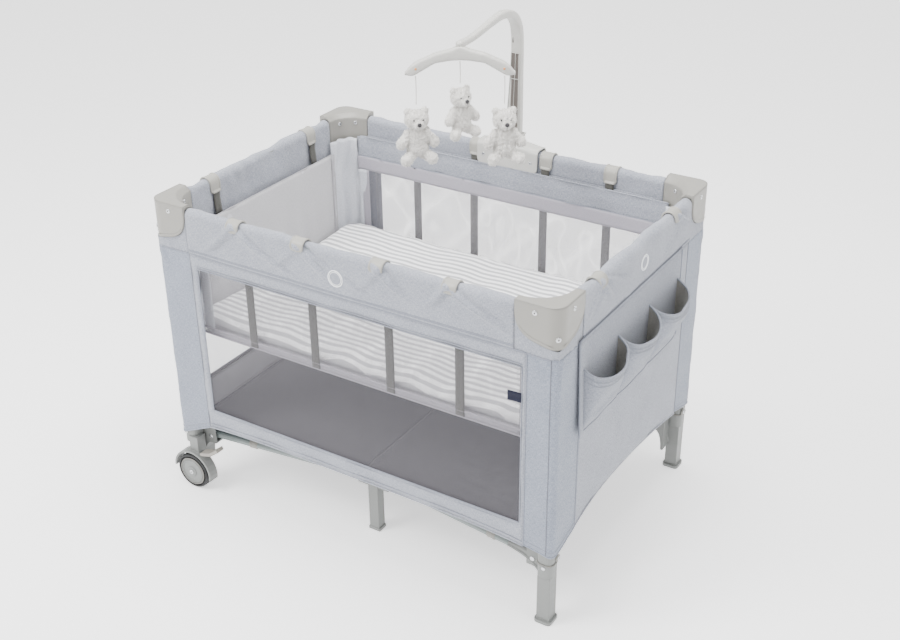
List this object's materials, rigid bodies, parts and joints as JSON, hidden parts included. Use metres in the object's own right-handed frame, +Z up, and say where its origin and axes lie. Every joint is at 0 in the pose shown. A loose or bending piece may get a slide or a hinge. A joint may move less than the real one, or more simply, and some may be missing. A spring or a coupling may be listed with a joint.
{
  "type": "travel play yard",
  "caption": "Folding travel play yard with a hanging bassinet, mesh windows, wheels at one end, a pocket organizer and a toy mobile.",
  "frame": {"origin": "centre of the bottom face of the centre hub's foot, on the floor", "axes": "+X along the long side towards the organizer end, +Y from the front long side to the back one, +Z up"},
  "size_m": [1.0925, 0.76, 1.0926],
  "materials": {
    "heather_cover": "heather woven polyester, light blue-grey",
    "sleeve_fabric": "heather woven polyester, bluer grey",
    "floor_fabric": "dark grey woven",
    "netting": "fine netting with a bound edge",
    "sheet_fabric": "white cotton with pale grey stripes",
    "webbing": "flat woven tape",
    "grey_moulding": "moulded, fine matt texture",
    "pale_moulding": "moulded, satin",
    "tube_steel": "powder coated",
    "tread": "moulded tread, near black",
    "plush": "short pile plush, off white",
    "thread": "twisted cord"
  },
  "bodies": {
    "leg_front_left": {"corner_casting_front_left": "grey_moulding", "post_front_left": "tube_steel", "post_sleeve_front_left": "sleeve_fabric", "wheel_bracket_front_left": "grey_moulding", "cover_front": "heather_cover", "floor_panel": "floor_fabric"},
    "leg_front_right": {"corner_casting_front_right": "grey_moulding", "post_front_right": "tube_steel", "post_sleeve_front_right": "sleeve_fabric", "foot_bracket_front_right": "grey_moulding", "cover_right": "heather_cover"},
    "leg_back_left": {"corner_casting_back_left": "grey_moulding", "post_back_left": "tube_steel", "post_sleeve_back_left": "sleeve_fabric", "wheel_bracket_back_left": "grey_moulding", "cover_left": "heather_cover"},
    "leg_back_right": {"corner_casting_back_right": "grey_moulding", "post_back_right": "tube_steel", "post_sleeve_back_right": "sleeve_fabric", "foot_bracket_back_right": "grey_moulding", "cover_back": "heather_cover"},
    "rail_front_left": {"rail_front_left": "tube_steel"},
    "rail_front_right": {"rail_front_right": "tube_steel"},
    "rail_back_left": {"rail_back_left": "tube_steel"},
    "rail_back_right": {"rail_back_right": "tube_steel"},
    "rail_left_front": {"rail_left_front": "tube_steel"},
    "rail_left_back": {"rail_left_back": "tube_steel"},
    "rail_right_front": {"rail_right_front": "tube_steel"},
    "rail_right_back": {"rail_right_back": "tube_steel"},
    "rail_latch_front": {"rail_latch_front": "grey_moulding"},
    "rail_latch_back": {"rail_latch_back": "grey_moulding"},
    "rail_latch_left": {"rail_latch_left": "grey_moulding"},
    "rail_latch_right": {"rail_latch_right": "grey_moulding"},
    "base_tube_front_left": {"base_tube_front_left": "tube_steel"},
    "base_tube_front_right": {"base_tube_front_right": "tube_steel"},
    "base_tube_back_left": {"base_tube_back_left": "tube_steel"},
    "base_tube_back_right": {"base_tube_back_right": "tube_steel"},
    "mid_foot_front": {"mid_foot_front": "grey_moulding"},
    "cross_tube_front": {"cross_tube_front": "tube_steel"},
    "mid_foot_back": {"mid_foot_back": "grey_moulding"},
    "cross_tube_back": {"cross_tube_back": "tube_steel"},
    "centre_hub": {"centre_hub": "grey_moulding", "hub_pull_strap": "webbing"},
    "wheel_front_left": {"wheel_front_left": "tread"},
    "brake_lever_front_left": {"brake_lever_front_left": "grey_moulding"},
    "wheel_back_left": {"wheel_back_left": "tread"},
    "brake_lever_back_left": {"brake_lever_back_left": "grey_moulding"},
    "bassinet": {"bassinet_shell": "netting"},
    "bassinet_pad": {"bassinet_pad": "sheet_fabric"},
    "organizer": {"organizer": "heather_cover"},
    "mobile": {"mobile_clamp": "pale_moulding", "mobile_arm": "pale_moulding"},
    "mobile_hanger": {"mobile_hanger": "pale_moulding"},
    "toy_left": {"toy_string_left": "thread", "plush_toy_left": "plush"},
    "toy_middle": {"toy_string_middle": "thread", "plush_toy_middle": "plush"},
    "toy_right": {"toy_string_right": "thread", "plush_toy_right": "plush"}
  },
  "joints": [
    {"name": "fold", "type": "hinge", "parent": "leg_front_left", "child": "rail_front_left", "pos_m": [-0.44, -0.3425, 0.735], "axis": [0, 1, 0], "range_deg": [0, 85], "deforming": ["cover_front", "cover_back", "cover_left", "cover_right", "floor_panel", "bassinet_shell", "bassinet_pad"]},
    {"name": "latch_front_left_pivot", "type": "hinge", "parent": "rail_front_left", "child": "rail_latch_front", "pos_m": [-0.022, -0.3425, 0.735], "axis": [0, -1, 0], "range_deg": [0, 85]},
    {"name": "latch_front_right_pivot", "type": "hinge", "parent": "rail_latch_front", "child": "rail_front_right", "pos_m": [0.022, -0.3425, 0.735], "axis": [0, -1, 0], "range_deg": [0, 85]},
    {"name": "leg_front_right_pivot", "type": "hinge", "parent": "rail_front_right", "child": "leg_front_right", "pos_m": [0.44, -0.3425, 0.735], "axis": [0, 1, 0], "range_deg": [0, 85]},
    {"name": "rail_left_front_pivot", "type": "hinge", "parent": "leg_front_left", "child": "rail_left_front", "pos_m": [-0.4945, -0.29, 0.735], "axis": [-1, 0, 0], "range_deg": [0, 85]},
    {"name": "latch_left_front_pivot", "type": "hinge", "parent": "rail_left_front", "child": "rail_latch_left", "pos_m": [-0.4945, -0.022, 0.735], "axis": [1, 0, 0], "range_deg": [0, 85]},
    {"name": "latch_left_back_pivot", "type": "hinge", "parent": "rail_latch_left", "child": "rail_left_back", "pos_m": [-0.4945, 0.022, 0.735], "axis": [1, 0, 0], "range_deg": [0, 85]},
    {"name": "leg_back_left_pivot", "type": "hinge", "parent": "rail_left_back", "child": "leg_back_left", "pos_m": [-0.4945, 0.29, 0.735], "axis": [-1, 0, 0], "range_deg": [0, 85]},
    {"name": "rail_back_left_pivot", "type": "hinge", "parent": "leg_back_left", "child": "rail_back_left", "pos_m": [-0.44, 0.3425, 0.735], "axis": [0, 1, 0], "range_deg": [0, 85]},
    {"name": "latch_back_left_pivot", "type": "hinge", "parent": "rail_back_left", "child": "rail_latch_back", "pos_m": [-0.022, 0.3425, 0.735], "axis": [0, -1, 0], "range_deg": [0, 85]},
    {"name": "latch_back_right_pivot", "type": "hinge", "parent": "rail_latch_back", "child": "rail_back_right", "pos_m": [0.022, 0.3425, 0.735], "axis": [0, -1, 0], "range_deg": [0, 85]},
    {"name": "leg_back_right_pivot", "type": "hinge", "parent": "rail_back_right", "child": "leg_back_right", "pos_m": [0.44, 0.3425, 0.735], "axis": [0, 1, 0], "range_deg": [0, 85]},
    {"name": "rail_right_front_pivot", "type": "hinge", "parent": "leg_front_right", "child": "rail_right_front", "pos_m": [0.4945, -0.29, 0.735], "axis": [-1, 0, 0], "range_deg": [0, 85]},
    {"name": "latch_right_front_pivot", "type": "hinge", "parent": "rail_right_front", "child": "rail_latch_right", "pos_m": [0.4945, -0.022, 0.735], "axis": [1, 0, 0], "range_deg": [0, 85]},
    {"name": "rail_right_back_pivot", "type": "hinge", "parent": "leg_back_right", "child": "rail_right_back", "pos_m": [0.4945, 0.29, 0.735], "axis": [1, 0, 0], "range_deg": [0, 85]},
    {"name": "base_front_left_pivot", "type": "hinge", "parent": "leg_front_left", "child": "base_tube_front_left", "pos_m": [-0.444, -0.306, 0.136], "axis": [0.1188, -0.9929, 0], "range_deg": [0, 85]},
    {"name": "base_front_right_pivot", "type": "hinge", "parent": "leg_front_right", "child": "base_tube_front_right", "pos_m": [0.444, -0.306, 0.136], "axis": [0.1188, 0.9929, 0], "range_deg": [0, 85]},
    {"name": "base_back_left_pivot", "type": "hinge", "parent": "leg_back_left", "child": "base_tube_back_left", "pos_m": [-0.444, 0.306, 0.136], "axis": [-0.1188, -0.9929, 0], "range_deg": [0, 85]},
    {"name": "base_back_right_pivot", "type": "hinge", "parent": "leg_back_right", "child": "base_tube_back_right", "pos_m": [0.444, 0.306, 0.136], "axis": [-0.1188, 0.9929, 0], "range_deg": [0, 85]},
    {"name": "mid_foot_front_pivot", "type": "hinge", "parent": "base_tube_front_left", "child": "mid_foot_front", "pos_m": [-0.026, -0.256, 0.136], "axis": [-0.1188, 0.9929, 0], "range_deg": [0, 85]},
    {"name": "mid_foot_back_pivot", "type": "hinge", "parent": "base_tube_back_left", "child": "mid_foot_back", "pos_m": [-0.026, 0.256, 0.136], "axis": [0.1188, 0.9929, 0], "range_deg": [0, 85]},
    {"name": "cross_front_pivot", "type": "hinge", "parent": "mid_foot_front", "child": "cross_tube_front", "pos_m": [0, -0.238, 0.136], "axis": [1, 0, 0], "range_deg": [0, 85]},
    {"name": "cross_back_pivot", "type": "hinge", "parent": "mid_foot_back", "child": "cross_tube_back", "pos_m": [0, 0.238, 0.136], "axis": [-1, 0, 0], "range_deg": [0, 85]},
    {"name": "hub_pivot", "type": "hinge", "parent": "cross_tube_front", "child": "centre_hub", "pos_m": [0, -0.02, 0.136], "axis": [-1, 0, 0], "range_deg": [0, 85]},
    {"name": "wheel_front_left_spin", "type": "hinge", "parent": "leg_front_left", "child": "wheel_front_left", "pos_m": [-0.478, -0.353, 0.046], "axis": [0, 1, 0], "continuous": true},
    {"name": "brake_front_left_press", "type": "hinge", "parent": "leg_front_left", "child": "brake_lever_front_left", "pos_m": [-0.445, -0.352, 0.105], "axis": [0, 1, 0], "range_deg": [0, 12]},
    {"name": "wheel_back_left_spin", "type": "hinge", "parent": "leg_back_left", "child": "wheel_back_left", "pos_m": [-0.478, 0.353, 0.046], "axis": [0, 1, 0], "continuous": true},
    {"name": "brake_back_left_press", "type": "hinge", "parent": "leg_back_left", "child": "brake_lever_back_left", "pos_m": [-0.445, 0.352, 0.105], "axis": [0, 1, 0], "range_deg": [0, 12]},
    {"name": "bassinet_lift", "type": "slide", "parent": "leg_front_left", "child": "bassinet", "axis": [0, 0, 1], "range_m": [0, 0.82]},
    {"name": "pad_lift", "type": "slide", "parent": "bassinet", "child": "bassinet_pad", "axis": [0, 0, 1], "range_m": [0, 0.35]},
    {"name": "organizer_unhook", "type": "slide", "parent": "leg_front_right", "child": "organizer", "axis": [1, 0, 0], "range_m": [0, 0.15]},
    {"name": "mobile_lift_off", "type": "slide", "parent": "leg_front_left", "child": "mobile", "axis": [0, 0, 1], "range_m": [0, 0.82]},
    {"name": "mobile_turn", "type": "hinge", "parent": "mobile", "child": "mobile_hanger", "pos_m": [0.017, 0.092, 1.05], "axis": [0, 0, 1], "continuous": true},
    {"name": "toy_left_swing", "type": "hinge", "parent": "mobile_hanger", "child": "toy_left", "pos_m": [-0.06614, 0.04204, 0.9965], "axis": [0.8572, 0.515, 0], "range_deg": [-15, 15]},
    {"name": "toy_middle_swing", "type": "hinge", "parent": "mobile_hanger", "child": "toy_middle", "pos_m": [0.017, 0.092, 1.0295], "axis": [0.8572, 0.515, 0], "range_deg": [-15, 15]},
    {"name": "toy_right_swing", "type": "hinge", "parent": "mobile_hanger", "child": "toy_right", "pos_m": [0.10014, 0.14196, 0.9965], "axis": [0.8572, 0.515, 0], "range_deg": [-15, 15]}
  ],
  "couplings": [
    {"joint": "latch_front_left_pivot", "follows": "fold", "ratio": 1},
    {"joint": "latch_front_right_pivot", "follows": "fold", "ratio": 1},
    {"joint": "leg_front_right_pivot", "follows": "fold", "ratio": 1},
    {"joint": "rail_left_front_pivot", "follows": "fold", "ratio": 1},
    {"joint": "latch_left_front_pivot", "follows": "fold", "ratio": 1},
    {"joint": "latch_left_back_pivot", "follows": "fold", "ratio": 1},
    {"joint": "leg_back_left_pivot", "follows": "fold", "ratio": 1},
    {"joint": "rail_back_left_pivot", "follows": "fold", "ratio": 1},
    {"joint": "latch_back_left_pivot", "follows": "fold", "ratio": 1},
    {"joint": "latch_back_right_pivot", "follows": "fold", "ratio": 1},
    {"joint": "leg_back_right_pivot", "follows": "fold", "ratio": 1},
    {"joint": "rail_right_front_pivot", "follows": "fold", "ratio": 1},
    {"joint": "latch_right_front_pivot", "follows": "fold", "ratio": 1},
    {"joint": "rail_right_back_pivot", "follows": "fold", "ratio": 1},
    {"joint": "base_front_left_pivot", "follows": "fold", "ratio": 1},
    {"joint": "base_front_right_pivot", "follows": "fold", "ratio": 1},
    {"joint": "base_back_left_pivot", "follows": "fold", "ratio": 1},
    {"joint": "base_back_right_pivot", "follows": "fold", "ratio": 1},
    {"joint": "mid_foot_front_pivot", "follows": "fold", "ratio": 1},
    {"joint": "mid_foot_back_pivot", "follows": "fold", "ratio": 1},
    {"joint": "cross_front_pivot", "follows": "fold", "ratio": 1},
    {"joint": "cross_back_pivot", "follows": "fold", "ratio": 1},
    {"joint": "hub_pivot", "follows": "fold", "ratio": 1},
    {"joint": "bassinet_lift", "follows": "fold", "m_per_rad": 0.55},
    {"joint": "organizer_unhook", "follows": "fold", "m_per_rad": 0.1},
    {"joint": "mobile_lift_off", "follows": "fold", "m_per_rad": 0.55}
  ]
}
